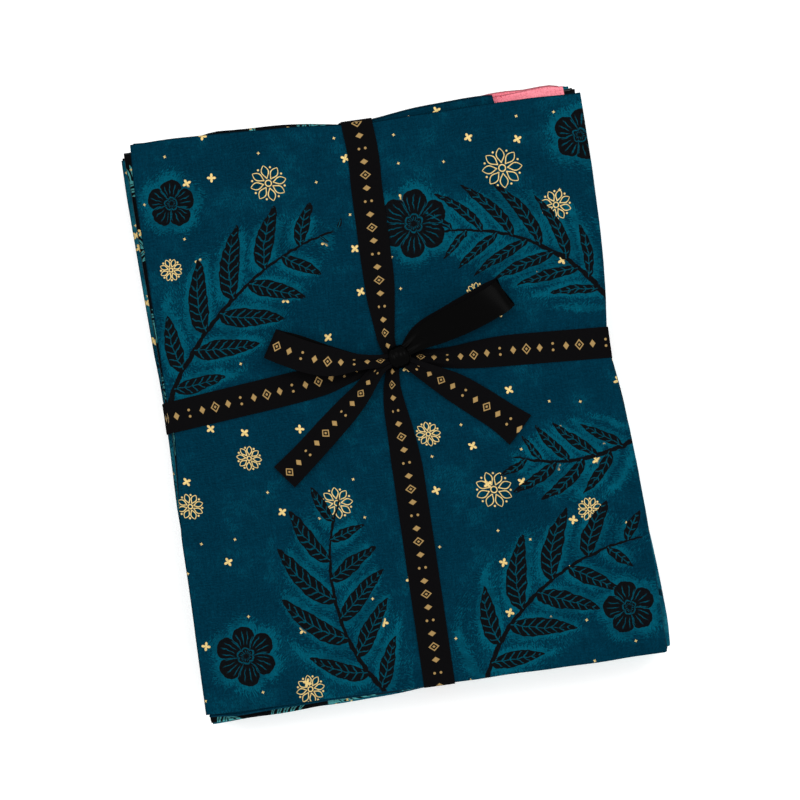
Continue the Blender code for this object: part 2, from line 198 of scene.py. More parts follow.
def pile_height(x, y, height):
    """The height of a point of the pile once the ribbon is tied round it."""
    by_long = np.exp(-(away_from_ribbon(x - long_line(y)) / SQUEEZE_REACH) ** SQUEEZE_FALL)
    by_cross = np.exp(-(away_from_ribbon(y - cross_line(x)) / SQUEEZE_REACH) ** SQUEEZE_FALL)
    tied = 1.0 - (1.0 - by_long) * (1.0 - by_cross)
    out_x = np.clip((np.abs(x) - PILE_HALF_X + EDGE_START) / EDGE_START, 0.0, MOST_DROOP)
    out_y = np.clip((np.abs(y) - PILE_HALF_Y + EDGE_START) / EDGE_START, 0.0, MOST_DROOP)
    droop = out_x ** 2 + out_y ** 2
    swell = 0.010 * np.sin(41.0 * x + 13.0 * y + 0.6) * np.sin(33.0 * y - 17.0 * x + 1.1)
    swell = swell + 0.005 * np.sin(88.0 * x - 37.0 * y) * np.sin(71.0 * y + 23.0 * x + 2.0)
    lost = TIED_SQUEEZE * tied + EDGE_DROOP * droop - swell * (1.0 - tied)
    # the lowest layers sag to the floor where no ribbon lies under them
    free = clear_of_ribbon(x - long_line(y)) * clear_of_ribbon(y - cross_line(x))
    low = np.clip(1.0 - (height - PILE_FLOOR) / SAG_DEPTH, 0.0, 1.0)
    return PILE_FLOOR + (height - PILE_FLOOR) * (1.0 - lost) - FLOOR_SAG * free * low


def fold_stations(run_cells, fold_cells, stops=()):
    """Stations across a cut folded once: (side, share of the run, angle in the fold)."""
    shares = np.union1d(np.linspace(0.0, 1.0, run_cells + 1), stops)
    run = np.ones(len(shares))
    angles = np.linspace(math.pi / 2, -math.pi / 2, fold_cells + 1)[1:-1]
    side = np.concatenate([run, np.zeros(fold_cells - 1), -run])
    share = np.concatenate([shares, np.ones(fold_cells - 1), shares[::-1]])
    angle = np.concatenate([run * math.pi / 2, angles, run * -math.pi / 2])
    return side, share, angle


def folded_surface(name, level):
    """Places and flat coordinates of a fat quarter's middle surface, on a grid of stations."""
    corners = corners_of(name)
    pull = 1.0 - 0.35 * math.sin(math.pi * (level + 0.5) / len(FOLDED_CORNERS))
    leaf, across, turn = fold_stations(RUN_CELLS_X, TURN_CELLS, SHARP_STOPS)
    side, along, hairpin = fold_stations(RUN_CELLS_Y, HAIRPIN_CELLS)
    leaf, side = np.meshgrid(leaf, side)
    across, along = np.meshgrid(across, along)
    turn, hairpin = np.meshgrid(turn, hairpin)

    # a first guess of each place, from the four corners alone
    low_x = between(along, 0, corners["top_left_x"], 1, corners["bottom_left_x"])
    high_x = between(along, 0, corners["top_right_x"], 1, corners["bottom_right_x"])
    guess_x = between(across, 0, low_x, 1, high_x)
    top_y = between(across, 0, corners["top_left_y"], 1, corners["top_right_y"])
    bottom_y = between(across, 0, corners["bottom_left_y"], 1, corners["bottom_right_y"])
    guess_y = between(along, 0, top_y, 1, bottom_y)

    # the edges, with the ribbon's pinch and each edge's own unevenness
    left = between(guess_y, corners["bottom_left_y"], corners["bottom_left_x"],
                   corners["top_left_y"], corners["top_left_x"])
    if name + " left" in EDGE_BENDS:
        left += shift_along(guess_y + MIDDLE_Y, EDGE_BENDS[name + " left"], MM)
    else:
        left += pinch(guess_y - cross_line(left), "left", pull)
        left += ripple(guess_y, edge_waves(level, 0 + leaf * 0.4))
    left += np.where(leaf < 0, corners["slip_left"], 0.0)
    left += np.where(side < 0, 0.7 * MM * math.sin(level * 2.2 + 1.0), 0.0)
    right = between(guess_y, corners["bottom_right_y"], corners["bottom_right_x"],
                    corners["top_right_y"], corners["top_right_x"])
    if name + " right" in EDGE_BENDS:
        right += shift_along(guess_y + MIDDLE_Y, EDGE_BENDS[name + " right"], MM)
    else:
        right -= pinch(guess_y - cross_line(right), "right", pull)
        right += ripple(guess_y, edge_waves(level, 1))
    top = between(guess_x, corners["top_left_x"], corners["top_left_y"],
                  corners["top_right_x"], corners["top_right_y"])
    top -= pinch(guess_x - long_line(top), "top", pull)
    top += ripple(guess_x, edge_waves(level, 2 + leaf * 0.4))
    top += np.where(leaf < 0, shift_along(across, TOP_SLIPS[name]), 0.0)
    top -= CORNER_CUTS.get(name, 0.0) * np.clip((across - 0.975) / 0.025, 0.0, 1.0)
    top += np.where(side < 0, 0.8 * MM * math.sin(level * 1.9 + 0.3), 0.0)
    bottom = between(guess_x, corners["bottom_left_x"], corners["bottom_left_y"],
                     corners["bottom_right_x"], corners["bottom_right_y"])
    bottom += pinch(guess_x - long_line(bottom), "bottom", pull)
    bottom += ripple(guess_x, edge_waves(level, 3))
    if name in BOTTOM_SLIPS:
        bottom += np.where(leaf < 0, shift_along(across, BOTTOM_SLIPS[name]), 0.0)

    # the first fold, a hairpin, and the second, which bends the first one's two layers
    half_pitch = LAYER_PITCH / 2
    fold_y = bottom + half_pitch + COTTON / 2
    fold_x = right - 1.5 * LAYER_PITCH - COTTON / 2
    inside = half_pitch * np.sin(hairpin)
    radius = LAYER_PITCH + inside
    y = np.where(side == 0, fold_y - half_pitch * np.cos(hairpin),
                 between(along, 0, top, 1, fold_y))
    x = np.where(leaf == 0, fold_x + radius * np.cos(turn), between(across, 0, left, 1, fold_x))
    middle = PILE_FLOOR + level * PIECE_PITCH + PIECE_PITCH / 2
    height = middle + radius * np.sin(turn)

    # each layer lies a little differently, most of all towards its raw edges
    layer = 2.0 * leaf + side
    own = 0.16 * MM * np.sin(37.0 * x + 29.0 * y + 2.4 * layer + 1.3 * level)
    own += 0.12 * MM * np.sin(61.0 * y - 23.0 * x + 1.7 * layer + 2.9 * level)
    loose = (1.0 - across * along) ** 1.5
    height += own * loose
    z = pile_height(x, y, height)

    # flat coordinates on the cut, in metres, from the crossing of its two folds
    flat_x = np.where(leaf == 0, turn / (math.pi / 2) * -LAYER_PITCH * 1.5,
                      -leaf * (fold_x - x + 1.5 * LAYER_PITCH))
    flat_y = np.where(side == 0, hairpin / (math.pi / 2) * half_pitch * 1.5,
                      side * (y - fold_y + 1.5 * half_pitch))
    return np.stack([x, y, z], axis=-1), np.stack([flat_x, flat_y], axis=-1)


def set_flat_coordinates(mesh, flat):
    """Gives each face corner its place on the flat cut as its UV, in metres."""
    layer = mesh.uv_layers[0] if mesh.uv_layers else mesh.uv_layers.new(name="flat")
    layer.name = "flat"
    corner_points = np.empty(len(mesh.loops), dtype=np.int32)
    mesh.loops.foreach_get("vertex_index", corner_points)
    layer.data.foreach_set("uv", flat[corner_points].astype(np.float32).ravel())


def add_thickness(thing, thickness):
    bpy.context.view_layer.objects.active = thing
    solid = thing.modifiers.new("thickness", "SOLIDIFY")
    solid.thickness = thickness
    solid.offset = 0.0
    solid.use_even_offset = True
    solid.use_quality_normals = True
    bpy.ops.object.modifier_apply(modifier=solid.name)


def add_mark(thing, name, values):
    mark = thing.data.attributes.new(name, "FLOAT", "POINT")
    mark.data.foreach_set("value", np.asarray(values, dtype=np.float32))


def mark_wrong_side(thing, count, printed_first=True):
    """Marks points with 0 on the printed side and 1 on the wrong side.

    count is the number of points that the sheet had before it was given its thickness.
    """
    second = np.arange(len(thing.data.vertices)) >= count
    add_mark(thing, "wrong_side", second if printed_first else ~second)


def fold_fat_quarter(name, level):
    """A flat cut, folded by its stations, given its thickness, with its flat coordinates."""
    places, flat = folded_surface(name, level)
    rows, columns = places.shape[:2]
    bpy.ops.mesh.primitive_grid_add(x_subdivisions=columns - 1, y_subdivisions=rows - 1, size=1.0)
    cloth = bpy.context.object
    cloth.name = name + "_cloth"
    cloth.data.vertices.foreach_set("co", places.reshape(-1, 3).astype(np.float32).ravel())
    set_flat_coordinates(cloth.data, flat.reshape(-1, 2))
    cloth.data.update()
    bpy.ops.object.mode_set(mode="EDIT")
    bpy.ops.mesh.select_all(action="SELECT")
    bpy.ops.mesh.flip_normals()
    bpy.ops.object.mode_set(mode="OBJECT")
    count = len(cloth.data.vertices)
    add_thickness(cloth, COTTON)
    mark_wrong_side(cloth, count)
    cut_edge = np.ones((rows, columns))
    cut_edge[1:-1, 1:-1] = 0.0
    add_mark(cloth, "cut_edge", np.tile(cut_edge.ravel(), 2))
    bpy.ops.object.shade_smooth_by_angle(angle=math.radians(50.0))
    cloth.select_set(False)
    return cloth


cloths = {}
for level, name in enumerate(FOLDED_CORNERS):
    cloths[name] = fold_fat_quarter(name, level)

# How quilting cotton looks: a plain weave of slightly uneven threads, printed on one side. Each
# effect is a node group that reads the cloth's flat coordinates in millimetres.


SOFT_EDGE = 0.12


class Value:
    """A node's output, which can be reckoned with as if it were a number."""

    def __init__(self, socket):
        self.socket = socket
        self.tree = socket.id_data

    def __add__(self, other):
        return calc("ADD", self, other)

    def __radd__(self, other):
        return calc("ADD", other, self)

    def __sub__(self, other):
        return calc("SUBTRACT", self, other)

    def __rsub__(self, other):
        return calc("SUBTRACT", other, self)

    def __mul__(self, other):
        return calc("MULTIPLY", self, other)

    def __truediv__(self, other):
        return calc("DIVIDE", self, other)

    def __rtruediv__(self, other):
        return calc("DIVIDE", other, self)

    def __pow__(self, other):
        return calc("POWER", self, other)

    def __abs__(self):
        return calc("ABSOLUTE", self)


def join(value, slot):
    """Feeds a node's slot from another node's output, or with a fixed value."""
    if isinstance(value, Value):
        value.tree.links.new(value.socket, slot)
    else:
        slot.default_value = value


def new_node(kind, *values):
    """A node in the tree of the first of its values that is another node's output."""
    tree = next(value.tree for value in values if isinstance(value, Value))
    return tree.nodes.new("ShaderNode" + kind)


def calc(operation, *values, kind="Math", clamp=False):
    node = new_node(kind, *values)
    node.operation = operation
    if clamp:
        node.use_clamp = True
    for slot, value in zip(node.inputs, values):
        join(value, slot)
    return Value(node.outputs[0])


def fade(value, low, high, to_low=0.0, to_high=1.0):
    """A smooth change from one value to another as value goes from low to high."""
    node = new_node("MapRange", value)
    node.interpolation_type = "SMOOTHSTEP"
    for slot, amount in zip(node.inputs, (value, low, high, to_low, to_high)):
        join(amount, slot)
    return Value(node.outputs[0])


def blend(share, first, second, kind="MIX"):
    node = new_node("Mix", share, first, second)
    node.data_type = "RGBA"
    node.blend_type = kind
    join(share, node.inputs["Factor"])
    join(first, node.inputs[6])
    join(second, node.inputs[7])
    return Value(node.outputs[2])


def parts(vector):
    node = new_node("SeparateXYZ", vector)
    join(vector, node.inputs[0])
    return Value(node.outputs[0]), Value(node.outputs[1])


def point(x, y):
    node = new_node("CombineXYZ", x, y)
    join(x, node.inputs[0])
    join(y, node.inputs[1])
    return Value(node.outputs[0])


def stretch(vector, x, y):
    return calc("MULTIPLY", vector, (x, y, 1.0), kind="VectorMath")


def turned(vector, angle):
    node = new_node("VectorRotate", vector)
    node.rotation_type = "Z_AXIS"
    join(vector, node.inputs["Vector"])
    join(angle, node.inputs["Angle"])
    return Value(node.outputs[0])


def cloudy(vector, scale, detail=2.0, roughness=0.5, seed=0.0):
    node = new_node("TexNoise", vector)
    node.noise_dimensions = "4D"
    names = ("Vector", "W", "Scale", "Detail", "Roughness")
    for name, value in zip(names, (vector, seed, scale, detail, roughness)):
        join(value, node.inputs[name])
    return Value(node.outputs["Fac"]), Value(node.outputs["Color"])


def scattered(vector, spacing, unevenness):
    """Coordinates seen from the nearest point of an uneven lattice, and two numbers of its own."""
    node = new_node("TexVoronoi", vector)
    node.voronoi_dimensions = "2D"
    join(unevenness, node.inputs["Randomness"])
    join(vector, node.inputs["Vector"])
    join(1.0 / spacing, node.inputs["Scale"])
    local = calc("SUBTRACT", vector, Value(node.outputs["Position"]), kind="VectorMath")
    return local, parts(Value(node.outputs["Color"]))


def distance(x, y):
    return calc("SQRT", x * x + y * y)


def largest(first, *others):
    for other in others:
        first = calc("MAXIMUM", first, other)
    return first


def inked(inside):
    """1 inside a drawn shape and 0 outside it, from how far inside its soft edge a place is."""
    return fade(inside, -SOFT_EDGE, SOFT_EDGE)


def start_group(name, inputs, outputs):
    """An empty node group, its inputs as {name: default} and its outputs as names."""
    tree = bpy.data.node_groups.new(name, "ShaderNodeTree")
    tree.interface.new_socket("Flat", in_out="INPUT", socket_type="NodeSocketVector")
    for label, value in inputs.items():
        slot = tree.interface.new_socket(label, in_out="INPUT", socket_type="NodeSocketFloat")
        slot.default_value = value
    for label in outputs:
        tree.interface.new_socket(label, in_out="OUTPUT", socket_type="NodeSocketFloat")
    start = tree.nodes.new("NodeGroupInput")
    end = tree.nodes.new("NodeGroupOutput")
    given = {slot.name: Value(slot) for slot in start.outputs if slot.name}
    return tree, given, end.inputs


def use_group(group, flat, **values):
    """A group's outputs by name, with values given to its inputs by name."""
    node = new_node("Group", flat)
    node.node_tree = group
    join(flat, node.inputs["Flat"])
    for label, value in values.items():
        join(value, node.inputs[label.replace("_", " ").capitalize()])
    return {slot.name: Value(slot) for slot in node.outputs}


def placed_in(given):
    """Coordinates seen from a motif's own place, turned by its own angle."""
    place = point(given["Place x"], given["Place y"])
    shifted = calc("SUBTRACT", given["Flat"], place, kind="VectorMath")
    return turned(shifted, given["Turn"] * (-math.pi / 180))


def make_leaf_spray():
    """A curved stem with leaves on both sides, as ink, fine drawn lines and nearness."""
    tree, given, made = start_group("leaf spray", {
        "Place x": 0.0, "Place y": 0.0, "Turn": 0.0, "Mirror": 1.0, "Length": 90.0, "Bend": 60.0,
        "Leaf": 26.0, "Pitch": 13.0, "Lean": 0.9, "Full": 1.0,
    }, ("Ink", "Lines", "Near"))
    x, y = parts(placed_in(given))
    y = y * given["Mirror"]
    from_centre = given["Bend"] - y
    squares = calc("MULTIPLY_ADD", x, x, from_centre * from_centre)
    off = given["Bend"] - calc("SQRT", squares)
    along = given["Bend"] * calc("ARCTAN2", x, from_centre)
    away = abs(off)

    # each leaf leans forward and curls, and the two sides stand half a pitch apart
    lean = calc("MULTIPLY_ADD", away, 0.014, given["Lean"])
    root = along - away * lean
    half_pitch = calc("SIGN", off) * (given["Pitch"] * 0.25)
    root = root + half_pitch
    number = calc("ROUND", root / given["Pitch"])
    middle = number * given["Pitch"]
    forward = root - middle
    beside = abs(forward)

    def reach(place):
        share = calc("DIVIDE", place, given["Length"], clamp=True)
        rest = 4.0 - share * 4.0
        hump = (share * rest) ** 0.55
        taper = calc("MULTIPLY_ADD", share, -0.35, 1.15)
        return hump * given["Leaf"] * taper

    leaf = calc("MAXIMUM", reach(middle), 0.01)
    out = calc("DIVIDE", away, leaf, clamp=True)
    rest = 1.0 - out
    taper = out ** 0.6 * rest ** 0.75
    size = calc("DIVIDE", leaf, given["Leaf"], clamp=True)
    breadth = given["Pitch"] * given["Full"] * size
    half = calc("MULTIPLY_ADD", breadth, taper, -0.15)
    inside = half - beside
    leaf_ink = inked(inside)

    stem_half = calc("MULTIPLY_ADD", along / given["Length"], -0.8, 1.3)
    stem = inked(stem_half - away)
    past_tip = along - given["Length"]
    ends = fade(along, -0.5, 0.5) * fade(past_tip, 1.5, -1.5)
    join(calc("MAXIMUM", leaf_ink, stem * ends), made["Ink"])

    # a rib down each leaf and side veins, thin and pale, clear of the leaf's margin
    rib = fade(beside, 0.42, 0.16) * fade(out, 0.90, 0.66)
    slant = beside * calc("MULTIPLY_ADD", calc("SIGN", forward), -0.15, 0.18)
    steps = away * 0.33 - slant
    vein = abs(calc("FRACT", steps) - 0.5)
    vein = fade(vein, 0.13, 0.05) * fade(inside, 0.5, 1.1)
    lines = calc("MAXIMUM", rib, vein) * leaf_ink
    join(lines, made["Lines"])

    # nearness: strongest right beside the leaves, weaker inside the whole spray's outline
    beyond = away - reach(along)
    beyond = largest(beyond, along * -1.0, past_tip)
    whole = fade(beyond, 8.0, -3.0)
    hug = fade(inside, -6.5, 0.5) * fade(beyond, 4.0, -2.0)
    join(calc("MULTIPLY_ADD", hug, 0.74, whole * 0.26), made["Near"])
    return tree


def make_open_flower():
    """A large open flower seen from the front, as ink, fine drawn lines and nearness."""
    tree, given, made = start_group("open flower", {
        "Place x": 0.0, "Place y": 0.0, "Turn": 0.0, "Size": 18.0, "Petals": 5.0,
    }, ("Ink", "Lines", "Near"))
    x, y = parts(placed_in(given))
    radius = distance(x, y)
    angle = calc("ARCTAN2", y, x) * given["Petals"]
    lobe = abs(calc("COSINE", angle * 0.5))
    notch = lobe ** 0.45
    edge = given["Size"] * (0.66 + notch * 0.34)
    inside = edge - radius
    ink = inked(inside)
    join(ink, made["Ink"])

    share = radius / edge
    folds = calc("SINE", angle * 4.0)
    ray = fade(folds, 0.72, 0.95)
    ray = ray * (fade(share, 0.35, 0.5) * fade(share, 0.9, 0.72))
    between_petals = lobe * radius
    split = fade(between_petals, 0.75, 0.35) * fade(share, 0.25, 0.4)
    ring = fade(abs(share - 0.26), 0.035, 0.015)
    dots = calc("SINE", angle * 3.0)
    heart = fade(dots, 0.2, 0.6) * (fade(share, 0.08, 0.12) * fade(share, 0.20, 0.16))
    join(largest(ray, split, ring, heart) * ink, made["Lines"])
    join(fade(inside, -9.0, 1.0), made["Near"])
    return tree


def make_gold_flower():
    """A small flower in thin gold lines: eight petals round a ring, with a dot past each gap."""
    tree, given, made = start_group("gold flower", {
        "Place x": 0.0, "Place y": 0.0, "Turn": 0.0, "Size": 8.0, "Petals": 8.0,
    }, ("Gold",))
    x, y = parts(placed_in(given))
    radius = distance(x, y)
    angle = calc("ARCTAN2", y, x)
    turns = angle * (given["Petals"] / (2.0 * math.pi))
    local = turns - calc("ROUND", turns)
    sweep = local * (2.0 * math.pi) / given["Petals"]
    beside = abs(radius * sweep)
    share = radius / given["Size"]
    out = calc("DIVIDE", share - 0.24, 0.72, clamp=True)
    bulge = calc("SINE", out ** 1.3 * math.pi)
    half = bulge * given["Size"] * 0.19
    line = abs(beside - half)
    petals = fade(line, 0.34, 0.16) * (fade(share, 0.22, 0.27) * fade(share, 0.98, 0.94))
    ring = fade(abs(radius - given["Size"] * 0.16), 0.36, 0.18)
    gap = 0.5 - abs(local)
    gap = gap * (2.0 * math.pi) / given["Petals"]
    gap = gap * radius
    past = radius - given["Size"] * 0.86
    join(largest(petals, ring, fade(distance(gap, past), 0.62, 0.36)), made["Gold"])
    return tree


def make_gold_specks():
    """Small gold four-petal marks and dots, one to a cell of an uneven lattice."""
    tree, given, made = start_group("gold specks", {"Spacing": 20.0, "Amount": 0.7}, ("Gold",))
    place, (chance, lot) = scattered(given["Flat"], given["Spacing"], 0.75)
    x, y = parts(place)
    angle = calc("ARCTAN2", y, x) + lot * 6.0
    lobe = abs(calc("COSINE", angle * 2.0))
    size = 0.75 + calc("GREATER_THAN", lot, 0.55) * 1.5
    edge = size * (0.28 + lobe ** 1.4 * 0.72)
    mark = inked(edge - distance(x, y))
    join(mark * calc("LESS_THAN", chance, given["Amount"]), made["Gold"])
    return tree


def make_small_sprigs():
    """Small leafy sprigs, one to a cell of an uneven lattice, each turned its own way."""
    tree, given, made = start_group("small sprigs", {"Spacing": 30.0}, ("Ink",))
    place, (_, lot) = scattered(given["Flat"], given["Spacing"], 0.5)
    length = given["Spacing"] * 0.8
    spray = use_group(LEAF_SPRAY, turned(place, lot * 6.283), length=length,
                      place_x=length * -0.5, place_y=1.0, bend=40.0,
                      leaf=given["Spacing"] * 0.24, pitch=given["Spacing"] * 0.13)
    join(calc("SUBTRACT", spray["Ink"], spray["Lines"], clamp=True), made["Ink"])
    return tree


def make_brushed_ground():
    """Patches of short scratchy brush strokes that lie three ways, and slow blotches."""
    tree, given, made = start_group("brushed ground", {}, ("Strokes", "Blotches"))
    blotch, lot = cloudy(given["Flat"], 0.060, 4.0, 0.62, 7.7)
    first, second = parts(lot)
    strokes = None
    for degrees, choice in ((18.0, None), (74.0, first), (-48.0, second)):
        along = turned(given["Flat"], math.radians(degrees))
        fine, _ = cloudy(stretch(along, 0.50, 1.70), 1.0, 3.0, 0.7, degrees)
        if choice is None:
            strokes = fine
            continue
        share = fade(choice, 0.48, 0.56)
        strokes = fine * share + strokes * (1.0 - share)
    join(fade(strokes, 0.40, 0.62), made["Strokes"])
    join(fade(blotch, 0.34, 0.68), made["Blotches"])
    return tree


def make_plain_weave():
    """Threads of a plain weave, with thick and thin places, as a tone and a height."""
    tree, given, made = start_group("plain weave", {"Thread": 0.40}, ("Tone", "Height"))
    weft, _ = cloudy(stretch(given["Flat"], 0.11, 1.5), 1.0, 2.0, 0.65, 2.0)
    warp, _ = cloudy(stretch(given["Flat"], 1.5, 0.11), 1.0, 2.0, 0.65, 9.0)
    fleck, _ = cloudy(given["Flat"], 1.4, 1.0, 0.5, 5.0)
    uneven = (weft + warp) * 0.32 + fleck * 0.36
    join(fade(uneven, 0.36, 0.64, 0.74, 1.26), made["Tone"])
    x, y = parts(given["Flat"])
    across = calc("SINE", x * math.pi / given["Thread"])
    along = calc("SINE", y * math.pi / given["Thread"])
    over = across * along
    join(over * 0.25 + uneven * 1.2, made["Height"])
    return tree


LEAF_SPRAY = make_leaf_spray()
OPEN_FLOWER = make_open_flower()
GOLD_FLOWER = make_gold_flower()
GOLD_SPECKS = make_gold_specks()
SMALL_SPRIGS = make_small_sprigs()
BRUSHED_GROUND = make_brushed_ground()
PLAIN_WEAVE = make_plain_weave()


COTTON_SHINE = 0.01
COTTON_ROUGHNESS = 0.88


def shade(red, green, blue):
    """A colour from its screen values of 0 to 255."""
    def linear(value):
        value /= 255.0
        return value / 12.92 if value <= 0.04045 else ((value + 0.055) / 1.055) ** 2.4
    return (linear(red), linear(green), linear(blue), 1.0)


def start_material(name, shine):
    """A material, its shader's slots, and its piece's flat coordinates in millimetres."""
    material = bpy.data.materials.new(name)
    material.use_nodes = True
    tree = material.node_tree
    shader = tree.nodes["Principled BSDF"].inputs
    shader["Specular IOR Level"].default_value = shine
    uv = tree.nodes.new("ShaderNodeUVMap")
    uv.uv_map = "flat"
    return material, shader, stretch(Value(uv.outputs[0]), 1000.0, 1000.0)


def marked(tree, name):
    """What was marked on the piece's points under a name."""
    node = tree.nodes.new("ShaderNodeAttribute")
    node.attribute_name = name
    return Value(node.outputs["Fac"])


def add_bump(shader, height, depth):
    bump = new_node("Bump", height)
    bump.inputs["Strength"].default_value = 0.35
    bump.inputs["Distance"].default_value = depth
    join(height, bump.inputs["Height"])
    join(Value(bump.outputs[0]), shader["Normal"])


def finish_cloth(shader, flat, colour, back, gold=None):
    """Adds the weave, the paler wrong side, the darker cut edges (partly painted shade) and any
    gold, and feeds the shader.
    """
    weave = use_group(PLAIN_WEAVE, flat)
    side = marked(flat.tree, "wrong_side")
    colour = blend(side, colour, back)
    if gold is None:
        shader["Roughness"].default_value = COTTON_ROUGHNESS
    else:
        gold = gold * (1.0 - side)
        colour = blend(gold, colour, shade(206, 180, 118))
        join(gold * 0.55, shader["Metallic"])
        join(fade(gold, 0.0, 1.0, COTTON_ROUGHNESS, 0.42), shader["Roughness"])
    tone = new_node("CombineColor", flat)
    for slot in tone.inputs:
        join(weave["Tone"], slot)
    colour = blend(1.0, colour, Value(tone.outputs[0]), "MULTIPLY")
    # painted shade: the cut edges are toned darker. This is partly the raw edge's own darker look
    # and partly a painted shadow line where each layer's edge lies over the layer below.
    overlay_share = fade(marked(flat.tree, "cut_edge"), 0.84, 0.97) * 0.8
    colour = blend(overlay_share, colour, shade(150, 150, 150), "MULTIPLY")
    join(colour, shader["Base Color"])
    add_bump(shader, weave["Height"], 0.08 * MM)


# the cloth on top: teal, with big black sprays and flowers in paler brushed patches, and gold
SPRAY_COLUMNS = (
    "place_x", "place_y", "turn", "mirror", "length", "bend", "leaf", "pitch", "lean", "full")
SPRAYS = (
    (-222, 150, 70, -1, 128, 130, 27, 21, 0.5, 0.82), (4, 176, 118, 1, 105, 90, 24, 15, 0.8, 0.8),
    (-132, -8, 135, -1, 116, 90, 27, 20, 0.55, 0.82),
    (-92, -6, 70, -1, 118, 100, 27, 21, 0.5, 0.82), (6, 110, 205, -1, 66, 80, 20, 14, 0.75, 0.8),
)
FLOWER_COLUMNS = ("place_x", "place_y", "turn", "size", "petals")
FLOWERS = (
    (-90, 230, 20, 17, 6), (-208, 256, 10, 12, 5), (-206, 28, 30, 15, 6), (-14, 26, 25, 13, 5),
    (-2, 262, 0, 13, 5),
)
GOLD_FLOWERS = (
    (-160, 258, 8, 9.4), (-214, 222, 20, 5.8), (-44, 250, 0, 10.4), (-188, 124, 30, 6.4),
    (-72, 92, 15, 9.6), (-27, 76, 12, 6.2), (-178, 6, 5, 7.4), (-98, 124, 0, 6.4),
    (-150, 96, 0, 8.2), (-64, 190, 0, 5.6), (-20, 228, 22, 8), (-222, 104, 10, 6.8),
)


def make_top_print(slot):
    material, shader, flat = start_material(slot, COTTON_SHINE)
    _, wobble = cloudy(flat, 0.22, 2.0, 0.6, 3.3)
    drawn = calc("MULTIPLY_ADD", wobble, (2.6, 2.6, 0.0), flat, kind="VectorMath")
    motifs = [use_group(LEAF_SPRAY, drawn, **dict(zip(SPRAY_COLUMNS, row))) for row in SPRAYS]
    motifs += [use_group(OPEN_FLOWER, drawn, **dict(zip(FLOWER_COLUMNS, row))) for row in FLOWERS]
    ink, lines, near = (
        largest(*(motif[name] for motif in motifs)) for name in ("Ink", "Lines", "Near"))
    ground = use_group(BRUSHED_GROUND, flat)
    # the paler patches: nearly solid beside the ink, then strokes that thin out, and stray ones
    scratchy = calc("MULTIPLY_ADD", ground["Strokes"], 0.95, -0.74)
    halo = fade(calc("MULTIPLY_ADD", near, 1.25, scratchy), 0.10, 0.62)
    stray = ground["Strokes"] * fade(ground["Blotches"], 0.55, 1.0, 0.0, 0.42)
    halo = calc("MAXIMUM", halo, stray) * fade(ground["Blotches"], 0.0, 0.7, 0.45, 1.0)
    rest = calc("MULTIPLY_ADD", ground["Strokes"], 0.6, ground["Blotches"] * 0.4)
    colour = blend(rest, shade(0, 34, 49), shade(1, 46, 63))
    colour = blend(halo, colour, shade(1, 71, 88))
    colour = blend(ink, colour, shade(10, 11, 13))
    overlay_share = lines * calc("MULTIPLY_ADD", ground["Strokes"], 0.5, 0.5)
    colour = blend(overlay_share, colour, shade(0, 68, 84))
    gold = [use_group(GOLD_FLOWER, flat, **dict(zip(FLOWER_COLUMNS, row)))["Gold"]
            for row in GOLD_FLOWERS]
    specks = use_group(GOLD_SPECKS, flat, spacing=21.0, amount=0.75)["Gold"]
    specks = specks * fade(near, 0.95, 0.7)
    gold = largest(specks, *gold) * (1.0 - ink)
    finish_cloth(shader, flat, colour, shade(18, 52, 68), gold)
    return material


def make_sprig_print(slot, ground_colour, pale, mark, back, spacing, gold_amount=0.0):
    """A plain or mottled cloth with small sprigs, and gold specks on some."""
    material, shader, flat = start_material(slot, COTTON_SHINE)
    ground = use_group(BRUSHED_GROUND, flat)
    mottled = calc("MULTIPLY_ADD", ground["Strokes"], 0.65, 0.35)
    share = ground["Blotches"] * mottled
    colour = blend(share, shade(*ground_colour), shade(*pale))
    sprigs = use_group(SMALL_SPRIGS, flat, spacing=spacing)["Ink"]
    colour = blend(sprigs, colour, shade(*mark))
    gold = None
    if gold_amount:
        gold = use_group(GOLD_SPECKS, flat, spacing=9.0, amount=gold_amount)["Gold"]
    finish_cloth(shader, flat, colour, shade(*back), gold)
    return material


# from the lowest cloth up, but for the top one: its slot, ground, paler patches, sprigs, wrong
# side, the sprigs' spacing, and how many gold specks it has
SPRIG_PRINTS = {
    "fat_quarter_01": (
        "cloth_light_aqua", (70, 146, 150), (104, 172, 172), (22, 88, 98), (122, 166, 168), 26),
    "fat_quarter_02": (
        "cloth_black_teal", (14, 14, 16), (16, 22, 25), (0, 76, 90), (74, 78, 80), 24),
    "fat_quarter_03": ("cloth_deep_teal", (0, 42, 60), (0, 60, 78), (6, 22, 30), (56, 86, 98), 30),
    "fat_quarter_04": (
        "cloth_mottled_teal", (0, 56, 76), (30, 112, 126), (3, 30, 42), (62, 100, 110), 20, 0.5),
    "fat_quarter_05": (
        "cloth_black_aqua", (11, 12, 13), (14, 18, 20), (66, 142, 144), (72, 78, 80), 33, 0.12),
    "fat_quarter_06": (
        "cloth_pink", (230, 122, 136), (246, 144, 156), (190, 48, 66), (236, 172, 178), 22),
}
for name, cloth in cloths.items():
    if name in SPRIG_PRINTS:
        slot = SPRIG_PRINTS[name][0]
        cloth.data.materials.append(make_sprig_print(*SPRIG_PRINTS[name]))
    else:
        slot = "cloth_teal_black_gold"
        cloth.data.materials.append(make_top_print(slot))
    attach(cloth, "root")
    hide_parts(name)

# ---------------------------------------------------------------------------------------------
# The ribbon: one length of flat black ribbon, 15.5 mm wide and printed on one side, taken round
# the pile both ways, knotted where the two turns cross and tied in a bow. The two turns lie flat
# on the cloth and gather into lengthwise creases as they near the knot.

RIBBON = 0.40 * MM
RIBBON_WIDTH = 15.5 * MM
RIBBON_GAP = 0.10 * MM
RIBBON_CELLS = 16
RIBBON_STEP = 2.0 * MM
PLEAT_HEIGHT = 1.25 * MM
